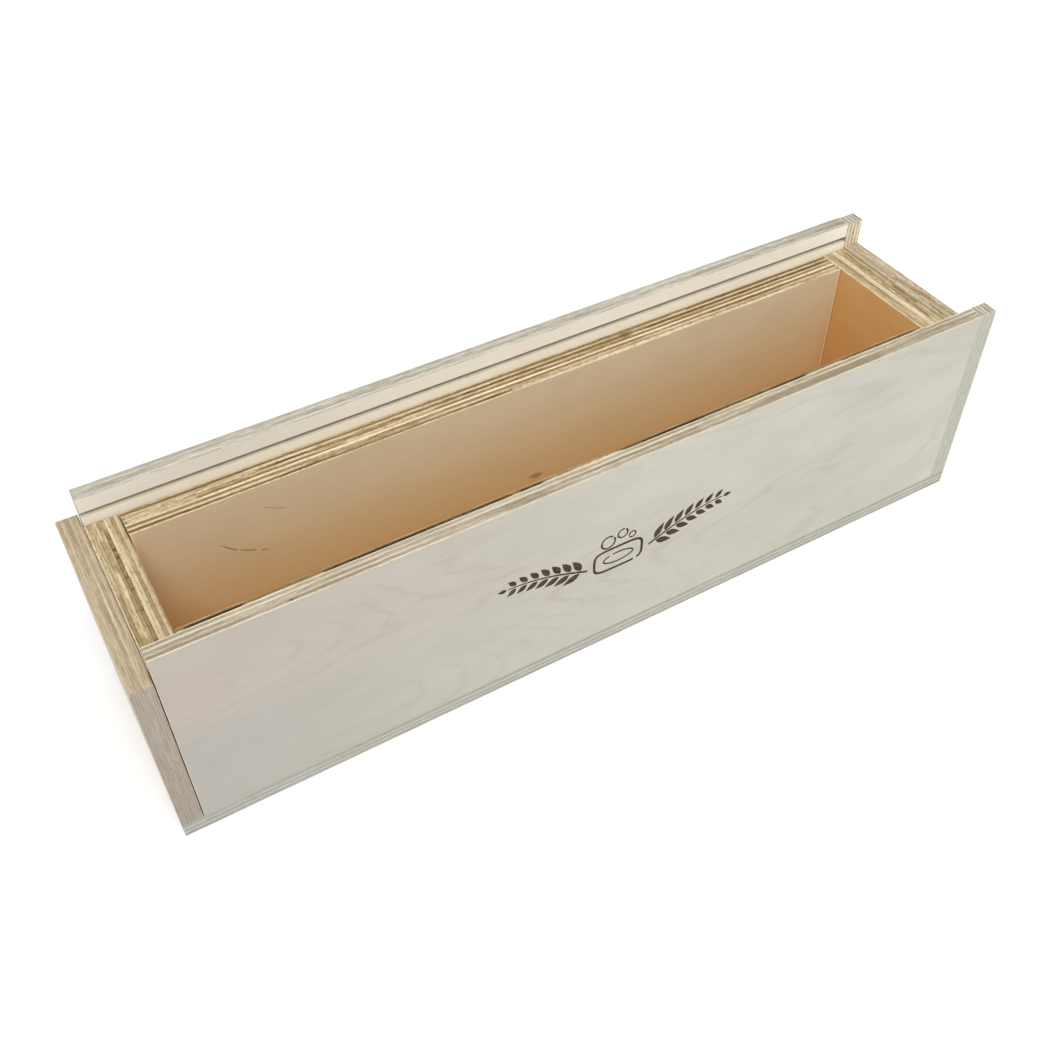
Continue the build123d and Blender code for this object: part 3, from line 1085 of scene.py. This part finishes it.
burnt, burnt_tree, burnt_shader = new_material("burnt_wood")
char = pattern(burnt_tree, (260.0, 600.0, 900.0), 91, detail=4.0, roughness=0.65)
char_share = between(burnt_tree, char, 0.35, 0.65)
burnt_colour = blend(burnt_tree, char_share, screen(88, 76, 60), screen(58, 48, 36))
burnt_tree.links.new(burnt_colour, burnt_shader.inputs["Base Color"])
burnt_tree.links.new(between(burnt_tree, char, 0.3, 0.7, 0.75, 0.95), burnt_shader.inputs["Roughness"])
burnt_shader.inputs["Specular IOR Level"].default_value = 0.1

burn_depth = 0.15 * mm
cut(front_panel, prism(stamp, (X, Z, Y), design_low.y - 1 * mm, front_low.y + burn_depth, "stamp", burnt))
print("strokes in the stamp:", len(stamp))

# %% [markdown]
# ## Brads
#
# The outer box is glued and nailed. The brads are plain bright wire, a little tarnished in places.
# They have no shape that the design doesn't already give them, so the CAD brads stay as they are and
# only take a metal.

# %% Bright wire
steel, steel_tree, steel_shader = new_material("bright_wire")
drawn = pattern(steel_tree, (2600.0, 2600.0, 2600.0), 71, detail=3.0)
tarnish = between(steel_tree, pattern(steel_tree, (900.0, 900.0, 900.0), 72), 0.35, 0.65)
steel_tree.links.new(blend(steel_tree, tarnish, screen(178, 178, 180), screen(128, 124, 118)),
                     steel_shader.inputs["Base Color"])
steel_tree.links.new(between(steel_tree, drawn, 0.3, 0.7, 0.28, 0.5), steel_shader.inputs["Roughness"])
steel_shader.inputs["Metallic"].default_value = 1.0
for node_name in ("left_end_brads", "right_end_brads", "base_brads"):
    frame["nodes"][node_name].data.materials.clear()
    frame["nodes"][node_name].data.materials.append(steel)
    print(f"{node_name}: bright wire")

# %% [markdown]
# The brads are set half a millimetre below the wood, so each one shows as a small dimple with a
# bright head at the bottom. The dimples are cut where the brads are. All the brads of one board are
# a single mesh, so it is first taken apart: starting at any corner, everything that can be reached
# along edges is one brad. The brads are found in no special order, so they are sorted by place.

# %% Dimples
dimple_radius = 1.1 * mm
dimple_depth = 0.55 * mm
crushed, crushed_tree, crushed_shader = new_material("crushed_wood")
crush = pattern(crushed_tree, (1800.0, 1800.0, 1800.0), 75)
crushed_tree.links.new(blend(crushed_tree, crush, screen(188, 160, 118), screen(140, 108, 70)),
                       crushed_shader.inputs["Base Color"])
crushed_shader.inputs["Roughness"].default_value = 0.9


def brad_heads(node_name, axes):
    """The places of a node's brads in the two given axes, from the middles of its loose solids."""
    work = bmesh.new()
    work.from_mesh(frame["nodes"][node_name].data)
    bmesh.ops.remove_doubles(work, verts=work.verts, dist=0.001 * mm)
    waiting, middles = set(work.verts), []
    while waiting:
        found, island = [waiting.pop()], []
        while found:
            vertex = found.pop()
            island.append(vertex.co.copy())
            for edge in vertex.link_edges:
                other = edge.other_vert(vertex)
                if other in waiting:
                    waiting.discard(other)
                    found.append(other)
        middle = [(min(v[a] for v in island) + max(v[a] for v in island)) / 2 for a in axes]
        middles.append(tuple(middle))
    work.free()
    return sorted(middles)


def dimple(piece, node_name, plane, surface, inwards):
    """Cuts a dimple over each brad of a node. surface is the board's outer face along the pull axis."""
    outlines = [circle(a, b, dimple_radius) for a, b in brad_heads(node_name, plane[:2])]
    start, end = sorted((surface - inwards * 1 * mm, surface + inwards * dimple_depth))
    cut(piece, prism(outlines, plane, start, end, "dimple_cutter", crushed))


dimple(left_end, "left_end_brads", (Y, Z, X), design_low.x, 1)
dimple(right_end, "right_end_brads", (Y, Z, X), design_high.x, -1)
dimple(base, "base_brads", (X, Y, Z), design_low.z, 1)

# %% [markdown]
# ## The floor and the light
#
# The box stands on a plain, nearly white floor under a bright, even sky, so shadows stay faint. One
# very broad, distant light comes from high in front, a little to the left. It falls steeply: it
# reaches down the cavity's far wall, it leaves a thin dark line under the upper lip of each groove,
# and the shadow of the box falls behind it, out of sight.

# %% Floor, sky and light
floor_mesh = bpy.data.meshes.new("floor")
reach = 40.0
corners = [(-reach, -reach), (reach, -reach), (reach, reach), (-reach, reach)]
floor_mesh.from_pydata([(x, y, -0.1 * mm) for x, y in corners], [], [(0, 1, 2, 3)])
floor = bpy.data.objects.new("floor", floor_mesh)
bpy.context.scene.collection.objects.link(floor)
floor_paint, floor_tree, floor_shader = new_material("pale_floor")
speckle = pattern(floor_tree, (40.0, 40.0, 40.0), 81)
floor_colour = blend(floor_tree, speckle, screen(252, 252, 252), screen(250, 250, 250))
floor_tree.links.new(floor_colour, floor_shader.inputs["Base Color"])
floor_shader.inputs["Roughness"].default_value = 0.9
floor_mesh.materials.append(floor_paint)

sky = bpy.data.worlds.new("sky")
sky.use_nodes = True
sky.node_tree.nodes["Background"].inputs["Color"].default_value = (1.0, 1.0, 1.0, 1.0)
sky.node_tree.nodes["Background"].inputs["Strength"].default_value = 0.6
bpy.context.scene.world = sky

sun = bpy.data.objects.new("high_front_light", bpy.data.lights.new("high_front_light", "SUN"))
sun.data.energy = 2.0
sun.data.angle = math.radians(32)
sun_turned, sun_raised = math.radians(-12), math.radians(60)
sun_way = Vector((math.sin(sun_turned) * math.cos(sun_raised), -math.cos(sun_turned) * math.cos(sun_raised),
                  math.sin(sun_raised)))
sun.location = sun_way
sun.rotation_mode = "QUATERNION"
sun.rotation_quaternion = (-sun_way).to_track_quat("-Z", "Y")
bpy.context.scene.collection.objects.link(sun)
bpy.context.scene.view_settings.view_transform = "Standard"
